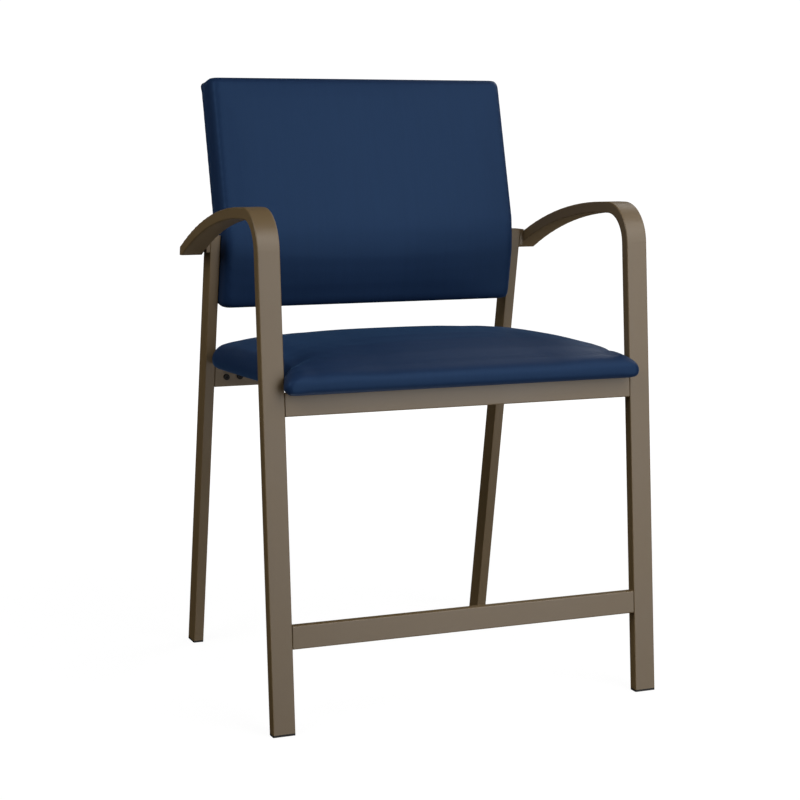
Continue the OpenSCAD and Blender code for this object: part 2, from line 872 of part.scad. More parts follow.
// one ring of the back: inset, depth behind the front face, share of the width, share of the runs,
// and the direction in which the surface faces, outward and forward
function back_ring(inset, depth, width_share, run_share, out, forward, skin) = let (
    w = back_half_width,
    drawn_in = inset + skin * out,
    middle_run = (back_top_run + back_bottom_run) / 2,
    half_run = (back_top_run - back_bottom_run) / 2
) [
    for (p = back_outline())
        let (x = p[0] * (w - drawn_in) / w * width_share)
        let (edge = p[1] > back_top_run - 2 * back_corner_radius ? 1
            : p[1] < back_bottom_run + 2 * back_corner_radius ? -1 : 0)
        let (run = (p[1] - edge * drawn_in) * run_share)
        let (share_up = (run - middle_run) / half_run)
        let (swell = width_share < 1
            ? back_swell * (1 - pow(x / w, 2)) * (1 - pow(min(abs(share_up), 1), 4)) : 0)
        back_place(x, run, depth + skin * forward - swell)
];

back_roll_angles = [0, 22, 45, 67, 90];
back_width_shares = [0.84, 0.56, 0.24];
back_run_shares = [0.985, 0.97, 0.955];
function back_front_rings(skin) = concat(
    [for (t = back_roll_angles) back_ring(
        back_roll_width * (1 - cos(t)), back_roll_depth * (1 - sin(t)), 1, 1, cos(t), sin(t), skin
    )],
    [for (k = [0:len(back_width_shares) - 1]) back_ring(
        back_roll_width, 0, back_width_shares[k], back_run_shares[k], 0, 1, skin
    )]
);

function back_rear_rings(skin) = concat(
    [back_ring(back_rear_radius + back_margin, back_thickness, 1, 1, 0, -1, skin)],
    [for (t = [0, 45, 90]) back_ring(
        back_rear_radius * (1 - sin(t)), back_thickness - back_rear_radius * (1 - cos(t)),
        1, 1, sin(t), -cos(t), skin
    )]
);

module back_cover() {
    color(NAVY)
    band_loft(concat(
        reversed(back_front_rings(0)), reversed(back_rear_rings(0)),
        back_rear_rings(cover_thickness), back_front_rings(cover_thickness)
    ));
}

back_board_rear = back_thickness - foam_depth;
back_board_front = back_board_rear - back_board_thickness;

module back_foam() {
    color(FOAM)
    band_loft(concat(
        reversed(back_front_rings(foam_depth)),
        [back_ring(0, back_board_front - soft_gap, 1, 1, 1, 0, foam_depth)]
    ));
}

// a layer of the back between two depths, less a margin all round, with its bend as true arcs
module back_layer(front, rear, margin) {
    r_front = lumbar_radius - front;
    r_rear = lumbar_radius - rear;
    far = 2 * lumbar_radius;
    half = back_half_width - margin;
    side_view(-half, 2 * half)
    translate([back_center_y, back_center_z]) {
        rotate(-back_recline)
            translate([-r_front, -merge]) square([rear - front, back_upper_rest - margin + merge]);
        rotate(rear_lean)
            translate([-r_front, margin - back_lower_rest])
            square([rear - front, back_lower_rest - margin + merge]);
        intersection() {
            difference() {
                circle(r_front);
                circle(r_rear);
            }
            polygon([
                [0, 0],
                [-far * cos(back_recline), far * sin(back_recline)],
                [-far, 0],
                [-far * cos(rear_lean), -far * sin(rear_lean)]
            ]);
        }
    }
}

// plates that carry the back, along the straight part of its rear face
back_plate_low = back_bottom + back_plate_lift;
back_bend_low_z = back_center_z - (lumbar_radius - back_thickness) * sin(rear_lean);
back_plate_length = (back_bend_low_z - back_plate_low) / cos(rear_lean);
back_screw_shares = [0.2, 0.8];

// places of the back's screws, on the rear faces of its plates, with Z square to them
module at_back_screws(sides = [-1, 1]) {
    for (side = sides, share = back_screw_shares) {
        on_rear_legs(back_plate_low)
            translate([side * (rear_inner_x - back_screw_inset), tube_wide, share * back_plate_length])
            rotate([-90, 0, 0]) children();
    }
}

module back_board() {
    color(WOOD)
    difference() {
        back_layer(back_board_front, back_board_rear, back_board_margin);
        at_back_screws()
            translate([0, 0, -back_behind_gap - foam_depth - back_board_thickness])
            rotate([180, 0, 0]) tee_nut_hole(0);
    }
}

module back_tee_nuts() {
    color(STEEL)
    at_back_screws()
        translate([0, 0, -back_behind_gap - foam_depth - back_board_thickness])
        rotate([180, 0, 0]) tee_nut(0);
}

module back_rear_panel() {
    color(NAVY)
    difference() {
        back_layer(back_thickness - closing_thickness, back_thickness,
            back_rear_radius + back_margin + soft_gap);
        at_back_screws() cylinder(d = tee_barrel_diameter, h = tube_wide, center = true);
    }
}

// plate that is welded to the rear leg's inner face and lies flush with its rear face
module back_plate() {
    color(FRAME)
    difference() {
        on_rear_legs(back_plate_low)
            translate([rear_inner_x - back_plate_width, tube_wide - back_plate_thickness, 0])
            cube([back_plate_width, back_plate_thickness, back_plate_length]);
        at_back_screws([1]) cylinder(
            d = bolt_diameter + 2 * hole_clearance, h = 4 * back_plate_thickness, center = true
        );
    }
}

module back_screws() {
    color(STEEL) at_back_screws() screw(back_screw_length);
}

module left_arm_and_front_leg() { on_side(-1) arm_and_front_leg(); }
module right_arm_and_front_leg() { on_side(1) arm_and_front_leg(); }
module left_arm_end_plate() { on_side(-1) arm_end_plate(); }
module right_arm_end_plate() { on_side(1) arm_end_plate(); }
module left_rear_leg() { on_side(-1) rear_leg(); }
module right_rear_leg() { on_side(1) rear_leg(); }
module left_rear_leg_cap() { on_side(-1) rear_leg_cap(); }
module right_rear_leg_cap() { on_side(1) rear_leg_cap(); }
module left_arm_spacer() { on_side(-1) arm_spacer(); }
module right_arm_spacer() { on_side(1) arm_spacer(); }
module front_rail_left_stub() { on_side(-1) on_front_legs(front_rail_height) front_stub(); }
module front_rail_right_stub() { on_side(1) on_front_legs(front_rail_height) front_stub(); }
module stretcher_left_stub() { on_side(-1) on_front_legs(stretcher_height) front_stub(); }
module stretcher_right_stub() { on_side(1) on_front_legs(stretcher_height) front_stub(); }
module rear_rail_left_stub() { on_side(-1) on_rear_legs(rear_rail_height) rear_stub(); }
module rear_rail_right_stub() { on_side(1) on_rear_legs(rear_rail_height) rear_stub(); }
module front_rail_bolts() { on_front_legs(front_rail_height) front_bolts(); }
module stretcher_bolts() { on_front_legs(stretcher_height) front_bolts(); }
module left_seat_bearer() { on_side(-1) seat_bearer(); }
module right_seat_bearer() { on_side(1) seat_bearer(); }
module front_left_glide() { on_side(-1) front_glide(); }
module front_right_glide() { on_side(1) front_glide(); }
module rear_left_glide() { on_side(-1) rear_glide(); }
module rear_right_glide() { on_side(1) rear_glide(); }
module left_back_plate() { on_side(-1) back_plate(); }
module right_back_plate() { on_side(1) back_plate(); }

left_arm_and_front_leg();
right_arm_and_front_leg();
left_arm_end_plate();
right_arm_end_plate();
left_rear_leg();
right_rear_leg();
left_rear_leg_cap();
right_rear_leg_cap();
left_arm_spacer();
right_arm_spacer();
front_seat_rail();
rear_seat_rail();
front_stretcher();
front_rail_left_stub();
front_rail_right_stub();
rear_rail_left_stub();
rear_rail_right_stub();
stretcher_left_stub();
stretcher_right_stub();
front_rail_bolts();
rear_rail_bolts();
stretcher_bolts();
left_seat_bearer();
right_seat_bearer();
front_left_glide();
front_right_glide();
rear_left_glide();
rear_right_glide();
seat_board();
seat_foam();
seat_cover();
seat_dust_cover();
seat_screws();
seat_tee_nuts();
back_board();
back_foam();
back_cover();
back_rear_panel();
left_back_plate();
right_back_plate();
back_screws();
back_tee_nuts();
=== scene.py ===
"""Raised armchair: a frame of brown powder-coated tube with a padded seat and a padded back in navy vinyl.

Metres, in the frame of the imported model: X across, the sitter faces -Y, Z up, feet at Z = 0.
"""

import json
import math

import bmesh
import bpy
import numpy as np
from mathutils import Matrix, Vector


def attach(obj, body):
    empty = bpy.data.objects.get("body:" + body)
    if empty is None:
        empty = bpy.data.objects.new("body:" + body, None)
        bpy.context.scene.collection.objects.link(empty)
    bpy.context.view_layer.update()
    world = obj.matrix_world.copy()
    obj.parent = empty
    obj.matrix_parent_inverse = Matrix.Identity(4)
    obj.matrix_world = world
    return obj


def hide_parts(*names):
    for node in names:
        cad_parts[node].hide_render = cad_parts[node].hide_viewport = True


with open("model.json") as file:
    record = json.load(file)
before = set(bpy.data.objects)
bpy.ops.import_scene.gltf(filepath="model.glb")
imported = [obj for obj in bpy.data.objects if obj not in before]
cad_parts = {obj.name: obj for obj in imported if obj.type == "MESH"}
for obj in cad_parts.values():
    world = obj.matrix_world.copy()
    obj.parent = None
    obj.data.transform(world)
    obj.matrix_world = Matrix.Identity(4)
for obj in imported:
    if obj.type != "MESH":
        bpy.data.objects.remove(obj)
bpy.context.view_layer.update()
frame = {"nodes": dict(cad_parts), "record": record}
MM = 0.001

# the seat: the middle of its underside, its tilt, and its half sizes in plan
SEAT_PLACE = Matrix.Translation((0, -58.67 * MM, 544.54 * MM)) @ Matrix.Rotation(math.radians(-1.311), 4, "X")
SEAT_HALF_WIDTH = 305 * MM
SEAT_HALF_DEPTH = 251.26 * MM
SEAT_OPENING_INSET = 44 * MM
SEAT_OPENING_RADIUS = 30 * MM
SEAT_FOAM_LOW = 16.8 * MM
SEAT_NOSE_REAR = -223 * MM

# the back in side view: the middle of its forward bend and the radius of its front face there
BACK_MIDDLE_Y = 280.785 * MM
BACK_MIDDLE_Z = 758 * MM
BACK_RADIUS = 165 * MM
BACK_LOWER_LEAN = math.radians(-10.7)
BACK_UPPER_LEAN = math.radians(15)
BACK_THICKNESS = 59.5 * MM
BACK_HALF_WIDTH = 285.4 * MM
BACK_BOTTOM_RUN = -116.89 * MM
BACK_TOP_RUN = 313.72 * MM
BACK_OPENING_INSET = 17 * MM
BACK_OPENING_RADIUS = 9 * MM
BACK_FOAM_REAR = 45.7 * MM

# what both cushions share: the remeshing, the swelling, and the foam under the skin
COVER_THICKNESS = 1.2 * MM
VOXEL_SIZE = 5 * MM
SAME_POINT = 0.001 * MM
SKIN_DRAWN_IN = 1.5 * MM
FOAM_PRESSURE = 3
SWELLING_FRAMES = 20
ROUNDS_FOR_RISE = 24
ROUNDS_FOR_KEPT = 8
FOAM_GAP = 0.3 * MM
FOAM_GRAIN = 0.8 * MM
OPENING_OVERRUN = 1 * MM
SMOOTH_ANGLE = math.radians(50)


# Finishes


class Wire:
    """A socket of a finish that can be used in Python arithmetic."""

    def __init__(self, finish, socket):
        self.finish = finish
        self.socket = socket

    def maths(self, operation, first, second=0.0, clamp=False):
        settings = {"operation": operation, "use_clamp": clamp}
        return self.finish.node("ShaderNodeMath", settings, {0: first, 1: second})

    def __add__(self, other):
        return self.maths("ADD", self, other)

    def __radd__(self, other):
        return self.maths("ADD", other, self)

    def __sub__(self, other):
        return self.maths("SUBTRACT", self, other)

    def __rsub__(self, other):
        return self.maths("SUBTRACT", other, self)

    def __mul__(self, other):
        return self.maths("MULTIPLY", self, other)

    def __rmul__(self, other):
        return self.maths("MULTIPLY", other, self)

    def clamped(self):
        return self.maths("ADD", self, 0.0, clamp=True)

    def above(self, low, high):
        """0 below low, 1 above high, with a soft step between them."""
        settings = {"interpolation_type": "SMOOTHSTEP"}
        sockets = {"Value": self, "From Min": low, "From Max": high}
        return self.finish.node("ShaderNodeMapRange", settings, sockets)


class Finish:
    """One material: constants go on the shader's own sockets, and patterns are wired to it."""

    def __init__(self, name, **constants):
        self.material = bpy.data.materials.new(name)
        self.material.use_nodes = True
        self.tree = self.material.node_tree
        self.shader = self.tree.nodes["Principled BSDF"]
        for socket, value in constants.items():
            self.shader.inputs[socket.replace("_", " ")].default_value = value

    def node(self, kind, settings=None, sockets=None, output=0):
        made = self.tree.nodes.new(kind)
        for name, value in (settings or {}).items():
            setattr(made, name, value)
        for name, value in (sockets or {}).items():
            self.feed(made.inputs[name], value)
        return Wire(self, made.outputs[output])

    def feed(self, socket, value):
        if isinstance(value, Wire):
            self.tree.links.new(value.socket, socket)
        else:
            socket.default_value = value

    def show(self, **signals):
        for name, value in signals.items():
            self.feed(self.shader.inputs[name.replace("_", " ")], value)
        return self.material

    def place(self, scale=(1, 1, 1), turn=(0, 0, 0)):
        """Object coordinates, turned and then stretched."""
        here = self.node("ShaderNodeTexCoord", output="Object")
        return self.node("ShaderNodeMapping", None, {"Vector": here, "Scale": scale, "Rotation": turn})

    def height(self):
        return self.node("ShaderNodeSeparateXYZ", None, {0: self.place()}, output=2)

    def noise(self, scale, stretch=(1, 1, 1), detail=2.0, roughness=0.5, distortion=0.0):
        sockets = {
            "Vector": self.place(stretch), "Scale": scale, "Detail": detail,
            "Roughness": roughness, "Distortion": distortion,
        }
        return self.node("ShaderNodeTexNoise", None, sockets)

    def cells(self, scale, feature="F1", output=0):
        sockets = {"Vector": self.place(), "Scale": scale}
        return self.node("ShaderNodeTexVoronoi", {"feature": feature}, sockets, output)

    def mix(self, share, first, second):
        """A colour between two colours."""
        sockets = {0: share, 6: first, 7: second}
        return self.node("ShaderNodeMix", {"data_type": "RGBA"}, sockets, output=2)

    def bump(self, height, distance, strength=1.0, under=None):
        sockets = {"Height": height, "Distance": distance, "Strength": strength}
        if under is not None:
            sockets["Normal"] = under
        return self.node("ShaderNodeBump", None, sockets)


def colour(red, green, blue):
    """A colour from sRGB values up to 255, as the shader takes it."""
    def linear(value):
        value /= 255
        return value / 12.92 if value <= 0.04045 else ((value + 0.055) / 1.055) ** 2.4
    return (linear(red), linear(green), linear(blue), 1.0)


def powder_coat():
    """Bronze powder coat on the tubes: orange peel, faint clouding, scuffs low on the legs."""
    coat = Finish("bronze powder coat", Specular_IOR_Level=0.95)
    clouds = coat.noise(9.0, detail=3.0)
    speckle = coat.noise(1500.0, detail=1.0)
    peel = coat.noise(620.0, detail=2.0, roughness=0.45)
    low = 1.0 - coat.height().above(0.0, 0.2)
    scuffs = coat.noise(55.0, stretch=(1, 1, 5), detail=5.0, roughness=0.65).above(0.6, 0.76) * low
    paint = coat.mix(clouds * 0.65 + speckle * 0.35, colour(106, 86, 56), colour(118, 97, 64))
    return coat.show(
        Base_Color=coat.mix(scuffs * 0.25, paint, colour(134, 126, 114)),
        Roughness=(0.40 + clouds * 0.06 + peel * 0.08 + scuffs * 0.12).clamped(),
        Normal=coat.bump(peel, 0.00008, 0.5),
    )


def vinyl():
    """Navy upholstery vinyl: faint upright streaks, fine pebbled grain with painted shade in its creases, a
    soft blue sheen.
    """
    skin = Finish(
        "navy vinyl", Specular_IOR_Level=0.35, Specular_Tint=(0.25, 0.5, 0.95, 1.0),
        Sheen_Weight=0.12, Sheen_Roughness=0.3, Sheen_Tint=(0.2, 0.5, 1.0, 1.0),
    )
    streaks = skin.noise(1.0, stretch=(85, 6, 3.5), detail=4.0, roughness=0.6)
    fine_streaks = skin.noise(1.0, stretch=(420, 30, 16), detail=2.0)
    clouds = skin.noise(5.0, detail=2.0)
    pebbles = skin.cells(1050.0, feature="SMOOTH_F1")
    pores = skin.noise(2600.0, detail=1.0)
    share = streaks * 0.45 + fine_streaks * 0.3 + clouds * 0.25
    dye = skin.mix(share, colour(24, 42, 71), colour(31, 51, 84))
    # painted shade: the creases between the pebbles, where the bump sinks the grain, are painted darker
    crease_painted_shade = pebbles.above(0.35, 0.75)
    return skin.show(
        Base_Color=skin.mix(crease_painted_shade * 0.22, dye, colour(21, 37, 63)),
        Roughness=(0.41 + clouds * 0.06 + pores * 0.05 + streaks * 0.04).clamped(),
        Normal=skin.bump(pebbles * -0.7 + pores * 0.3 + fine_streaks * 0.25, 0.0001, 0.4),
    )


def black_plastic():
    plastic = Finish("glide plastic", Specular_IOR_Level=0.45)
    grain = plastic.noise(900.0, detail=3.0)
    wear = (1.0 - plastic.height().above(0.0, 0.002)) * plastic.noise(160.0, detail=4.0)
    return plastic.show(
        Base_Color=plastic.mix(wear * 0.6, colour(24, 23, 22), colour(84, 80, 75)),
        Roughness=(0.5 + grain * 0.18).clamped(),
        Normal=plastic.bump(grain, 0.00005, 0.5),
    )


def black_oxide():
    steel = Finish("black bolt steel", Metallic=0.65)
    mottle = steel.noise(420.0, detail=4.0, roughness=0.6)
    return steel.show(
        Base_Color=steel.mix(mottle, colour(16, 15, 15), colour(40, 38, 37)),
        Roughness=(0.3 + mottle * 0.25).clamped(),
        Normal=steel.bump(mottle, 0.00002, 0.4),
    )


def zinc_plate():
    zinc = Finish("zinc plate", Metallic=1.0)
    spangle = zinc.noise(300.0, detail=4.0, roughness=0.6)
    return zinc.show(
        Base_Color=zinc.mix(spangle, colour(168, 170, 172), colour(206, 207, 205)),
        Roughness=(0.26 + spangle * 0.2).clamped(),
        Normal=zinc.bump(spangle, 0.00002, 0.4),
    )


def plywood():
    """Raw birch plywood: long grain across the faces, layers along the edges."""
    ply = Finish("birch plywood", Specular_IOR_Level=0.3)
    grain = ply.noise(1.0, stretch=(14, 260, 300), detail=5.0, roughness=0.65, distortion=0.6)
    figure = ply.noise(1.0, stretch=(3, 26, 26), detail=3.0, distortion=1.2)
    wood = ply.mix(grain * 0.6 + figure * 0.4, colour(176, 140, 96), colour(222, 194, 150))
    return ply.show(
        Base_Color=wood,
        Roughness=(0.62 + grain * 0.15).clamped(),
        Normal=ply.bump(grain, 0.0001, 0.5),
    )


def foam():
    """Open-cell foam with fine pores."""
    sponge = Finish("seat foam", Specular_IOR_Level=0.2)
    pores = sponge.cells(420.0)
    tint = sponge.noise(18.0, detail=2.0)
    return sponge.show(
        Base_Color=sponge.mix(pores * 0.7 + tint * 0.3, colour(238, 226, 184), colour(206, 186, 132)),
        Roughness=(0.85 + tint * 0.1).clamped(),
        Normal=sponge.bump(pores, 0.0006, 0.6),
    )


def dust_cloth():
    """Black spun cloth that closes the seat underneath: a diagonal dimple pattern and loose fibres."""
    cloth = Finish("black dust cloth", Specular_IOR_Level=0.15, Sheen_Weight=0.25, Sheen_Roughness=0.5)
    sockets = {"Vector": cloth.place(), "Scale": 380.0, "Randomness": 0.15}
    dimples = cloth.node("ShaderNodeTexVoronoi", {"distance": "MANHATTAN"}, sockets)
    fibres = cloth.noise(1.0, stretch=(900, 240, 500), detail=4.0, roughness=0.7)
    return cloth.show(
        Base_Color=cloth.mix(fibres * 0.7 + dimples * 0.3, colour(18, 18, 19), colour(44, 44, 46)),
        Roughness=(0.8 + fibres * 0.15).clamped(),
        Normal=cloth.bump(dimples * 0.5 + fibres * 0.5, 0.0002, 0.6),
    )


def dress(piece, material):
    piece.data.materials.clear()
    piece.data.materials.append(material)


# Camera, floor and lights


# the photo's camera, in metres and radians
CAMERA_PLACE = (-1.2769, -3.0924, 0.9566)
CAMERA_DOWN = 0.1399
CAMERA_TURN = -0.3922
CAMERA_LENS = 85.08
CAMERA_SENSOR = 36
CAMERA_REACH = 200


def camera():
    lens = bpy.data.cameras.new("photo camera")
    lens.lens = CAMERA_LENS
    lens.sensor_width = CAMERA_SENSOR
    lens.clip_end = CAMERA_REACH
    viewer = bpy.data.objects.new("photo camera", lens)
    viewer.location = CAMERA_PLACE
    viewer.rotation_euler = (math.pi / 2 - CAMERA_DOWN, 0, CAMERA_TURN)
    bpy.context.scene.collection.objects.link(viewer)
    bpy.context.scene.camera = viewer


def grey(level):
    return (level, level, level, 1)


# the floor's glow rises from the near level to the far one over a band of distances from the chair; the
# dimmer glow near the chair is painted shadow round it
FLOOR_SIZE = 60
FLOOR_DROP = 0.2 * MM
PAPER_LEVEL = 0.13
GLOW_NEAR_PAINTED_SHADOW = 0.93
GLOW_FAR = 1.06
PAINTED_SHADOW_BAND = (0.9, 3.0)
BACKDROP_STRENGTH = 1.05


def floor():
    """A pale paper floor that runs out to the white of the backdrop, with a painted soft shadow in its dimmer
    glow near the chair.
    """
    bpy.ops.object.select_all(action="DESELECT")
    bpy.ops.mesh.primitive_plane_add(size=FLOOR_SIZE, location=(0, 0, -FLOOR_DROP))
    ground = bpy.context.object
    ground.name = "floor"
    paper = Finish("floor paper", Base_Color=grey(PAPER_LEVEL), Roughness=1.0, Specular_IOR_Level=0.0)
    reach = paper.node("ShaderNodeVectorMath", {"operation": "LENGTH"}, {0: paper.place()}, "Value")
    # painted shadow: the floor glows dimmer near the chair than far from it
    glow_with_painted_shadow = paper.mix(reach.above(*PAINTED_SHADOW_BAND), grey(GLOW_NEAR_PAINTED_SHADOW), grey(GLOW_FAR))
    dress(ground, paper.show(Emission_Color=glow_with_painted_shadow, Emission_Strength=1.0))
    ground.visible_diffuse = False
    ground.visible_glossy = False
    ground.visible_shadow = False


# the studio's softboxes: azimuth from the front, elevation, and brightness. The low ones stand for the
# light that a white floor throws back
SOFTBOXES = [
    ("key, high", 22, 38, 0.284),
    ("key, middle", 22, 12, 0.217),
    ("key, low", 22, -14, 0.168),
    ("right front", 65, 38, 0.113),
    ("right, high", 115, 38, 0.207),
    ("right, low", 115, -14, 0.56),
    ("left front", -65, 38, 0.321),
    ("left rear", -110, 12, 0.15),
    ("rear left", -155, 15, 0.05),
    ("rear fill", 180, 14, 0.2),
    ("floor", 0, -88, 0.3),
]
# these lighten the shaded sides and leave no bright line on the edges
DIFFUSE_ONLY = ("right, low", "left rear", "rear left", "rear fill")
SOFTBOX_SIZE = (1.9, 1.5)
SOFTBOX_DISTANCE = 3.2
SOFTBOX_TARGET = Vector((0, 0, 0.6))


def softbox(name, azimuth, elevation, level):
    """A soft area light on a sphere round the chair. Azimuth 0 is in front of it and 90 on its right."""
    lamp = bpy.data.lights.new(name, "AREA")
    lamp.shape = "RECTANGLE"
    lamp.size, lamp.size_y = SOFTBOX_SIZE
    lamp.energy = level * (math.pi * SOFTBOX_DISTANCE) ** 2
    box = bpy.data.objects.new(name, lamp)
    turn, rise = math.radians(azimuth), math.radians(elevation)
    out = Vector((math.sin(turn) * math.cos(rise), -math.cos(turn) * math.cos(rise), math.sin(rise)))
    box.location = SOFTBOX_TARGET + out * SOFTBOX_DISTANCE
    box.rotation_mode = "QUATERNION"
    box.rotation_quaternion = out.to_track_quat("Z", "Y")
    box.visible_camera = False
    bpy.context.scene.collection.objects.link(box)
    return box


def studio():
    floor()
    world = bpy.data.worlds.new("studio")
    bpy.context.scene.world = world
    world.use_nodes = True
    backdrop = world.node_tree.nodes["Background"]
    backdrop.inputs["Color"].default_value = grey(1)
    backdrop.inputs["Strength"].default_value = BACKDROP_STRENGTH
    world.cycles_visibility.diffuse = False
    world.cycles_visibility.glossy = False
    bpy.context.scene.view_settings.view_transform = "Standard"
    for name, azimuth, elevation, level in SOFTBOXES:
        box = softbox(name, azimuth, elevation, level)
        box.visible_glossy = name not in DIFFUSE_ONLY


# Shaping


def new_piece(name, mesh):
    piece = bpy.data.objects.new(name, mesh)
    bpy.context.scene.collection.objects.link(piece)
    return piece


def only(piece):
    """Selects one piece alone and makes it the active one."""
    bpy.ops.object.select_all(action="DESELECT")
    piece.select_set(True)
    bpy.context.view_layer.objects.active = piece


def apply_modifier(piece, kind, **settings):
    only(piece)
    modifier = piece.modifiers.new(kind.lower(), kind)
    for name, value in settings.items():
        setattr(modifier, name, value)
    bpy.ops.object.modifier_apply(modifier=modifier.name)


def points(piece):
    """The places of all points of a piece, one row each."""
    places = np.empty(len(piece.data.vertices) * 3)
    piece.data.vertices.foreach_get("co", places)
    return places.reshape(-1, 3)


def set_points(piece, places):
    piece.data.vertices.foreach_set("co", places.ravel())
    piece.data.update()


def normals_of(piece):
    """The outward directions at all points of a piece, one row each."""
    directions = np.empty(len(piece.data.vertices) * 3, dtype=np.float32)
    piece.data.vertex_normals.foreach_get("vector", directions)
    return directions.reshape(-1, 3)


def soft_step(values, low, high):
    """0 below low, 1 above high, and a smooth rise between them."""
    share = np.clip((values - low) / (high - low), 0, 1)
    return share * share * (3 - 2 * share)


def cast_of(nodes, name, turned=Matrix()):
    """One piece with the merged surfaces of CAD nodes, laid along its own directions."""
    shape = bmesh.new()
    for node in nodes:
        shape.from_mesh(frame["nodes"][node].data)
    bmesh.ops.remove_doubles(shape, verts=shape.verts, dist=SAME_POINT)
    bmesh.ops.transform(shape, matrix=turned.inverted(), verts=shape.verts)
    mesh = bpy.data.meshes.new(name)
    shape.to_mesh(mesh)
    shape.free()
    return new_piece(name, mesh)


def evened(piece, values, rounds):
    """Spreads a number per point over its neighbours, so that no pucker is left in it."""
    count = len(piece.data.vertices)
    ends = np.empty(len(piece.data.edges) * 2, dtype=np.int32)
    piece.data.edges.foreach_get("vertices", ends)
    first, second = ends[0::2], ends[1::2]
    neighbours = np.maximum(np.bincount(ends, minlength=count), 1)
    for _ in range(rounds):
        total = np.bincount(first, values[second], count) + np.bincount(second, values[first], count)
        values = (values + total / neighbours) / 2
    return values


def swell(piece, held, share, cap):
    """Swells the skin under the foam's pressure, and lets it keep a share of that, up to a cap.

    held has a number for each point: 1 is fixed to the board, and 0 is free. The skin starts a little inside
    its place, and only what it moves outward is kept.
    """
    weights = piece.vertex_groups.new(name="held")
    free = piece.vertex_groups.new(name="free")
    for index, value in enumerate(held):
        weights.add([index], float(value), "REPLACE")
        free.add([index], 1 - float(value), "REPLACE")
    start = points(piece)
    outward = normals_of(piece)
    apply_modifier(piece, "DISPLACE", strength=-SKIN_DRAWN_IN, mid_level=0, vertex_group="free")
    only(piece)
    cloth = piece.modifiers.new("cloth", "CLOTH")
    skin = cloth.settings
    skin.quality = 4
    skin.mass = 0.4
    skin.tension_stiffness = 30
    skin.compression_stiffness = 30
    skin.shear_stiffness = 12
    skin.bending_stiffness = 4
    skin.use_pressure = True
    skin.uniform_pressure_force = FOAM_PRESSURE
    skin.vertex_group_mass = "held"
    skin.effector_weights.gravity = 0
    cloth.collision_settings.use_collision = False
    cloth.point_cache.frame_start = 1
    cloth.point_cache.frame_end = SWELLING_FRAMES
    for step in range(1, SWELLING_FRAMES + 1):
        bpy.context.scene.frame_set(step)
    bpy.ops.object.modifier_apply(modifier=cloth.name)
    bpy.context.scene.frame_set(1)
    travel = np.sum((points(piece) - start) * outward, axis=1)
    rise = evened(piece, travel, ROUNDS_FOR_RISE) * (1 - np.asarray(held))
    kept = evened(piece, np.maximum(cap * np.tanh(share * rise / cap), 0), ROUNDS_FOR_KEPT)
    set_points(piece, start + outward * kept[:, None])
    piece.vertex_groups.clear()


def declare_padding(piece, node, slot):
    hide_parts(node)
    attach(piece, "root")
    dress(piece, finishes[slot])


def foam_of(cushion, name, node, settled):
    """The foam under a cushion's skin, pressed flat where it lies on its board."""
    block = new_piece(name, cushion.data.copy())
    block.data.name = name
    apply_modifier(block, "DISPLACE", strength=-(COVER_THICKNESS + FOAM_GAP), mid_level=0)
    set_points(block, settled(points(block)))
    shape = bmesh.new()
    shape.from_mesh(block.data)
    bmesh.ops.remove_doubles(shape, verts=shape.verts, dist=FOAM_GRAIN)
    bmesh.ops.recalc_face_normals(shape, faces=shape.faces)
    shape.to_mesh(block.data)
    shape.free()
    declare_padding(block, node, "foam")
    return block


def open_behind(cushion, inside, rim):
    """Takes away the skin's faces whose points all lie inside, and settles the edge that is left."""
    shape = bmesh.new()
    shape.from_mesh(cushion.data)
    taken = [face for face in shape.faces if all(inside[corner.index] for corner in face.verts)]
    bmesh.ops.delete(shape, geom=taken, context="FACES")
    for edge in shape.edges:
        if len(edge.link_faces) == 1:
            for corner in edge.verts:
                corner.co = rim(corner.co)
    shape.to_mesh(cushion.data)
    shape.free()


def give_thickness(cushion):
    apply_modifier(cushion, "SOLIDIFY", thickness=COVER_THICKNESS, offset=-1)
    apply_modifier(cushion, "SUBSURF", levels=1, render_levels=1)
    only(cushion)
    bpy.ops.object.shade_smooth()


TINY = 1e-9


def inside_outline(across, along, half_width, half_length, radius):
    """How far points lie inside a rectangle with round corners round the middle."""
    across = np.abs(across) - (half_width - radius)
    along = np.abs(along) - (half_length - radius)
    outside = np.hypot(np.maximum(across, 0), np.maximum(along, 0))
    return radius - outside - np.minimum(np.maximum(across, along), 0)


def onto_outline(across, along, half_width, half_length, radius):
    """The nearest place on the same outline."""
    beyond_x = abs(across) - (half_width - radius)
    beyond_y = abs(along) - (half_length - radius)
    if beyond_x > 0 and beyond_y > 0:
        reach = radius / max(math.hypot(beyond_x, beyond_y), TINY)
        x, y = half_width - radius + beyond_x * reach, half_length - radius + beyond_y * reach
    elif beyond_x > beyond_y:
        x, y = half_width, abs(along)
    else:
        x, y = abs(across), half_length
    return math.copysign(x, across), math.copysign(y, along)


def round_sheet(name, half_width, half_length, radius, steps):
    """A flat grid with round corners, to be laid in its place."""
    bpy.ops.object.select_all(action="DESELECT")
    bpy.ops.mesh.primitive_grid_add(x_subdivisions=steps[0], y_subdivisions=steps[1], size=2)
    sheet = bpy.context.object
    sheet.name = name
    sheet.data.name = name
    places = points(sheet)
    places[:, 0] *= half_width
    places[:, 1] *= half_length
    beyond = np.maximum(np.abs(places[:, :2]) - (np.array([half_width, half_length]) - radius), 0)
    length = np.hypot(beyond[:, 0], beyond[:, 1])
    drawn = np.where(length > radius, radius / np.maximum(length, TINY), 1)[:, None]
    places[:, :2] -= np.sign(places[:, :2]) * beyond * (1 - drawn)
    set_points(sheet, places)
    return sheet


# Seat

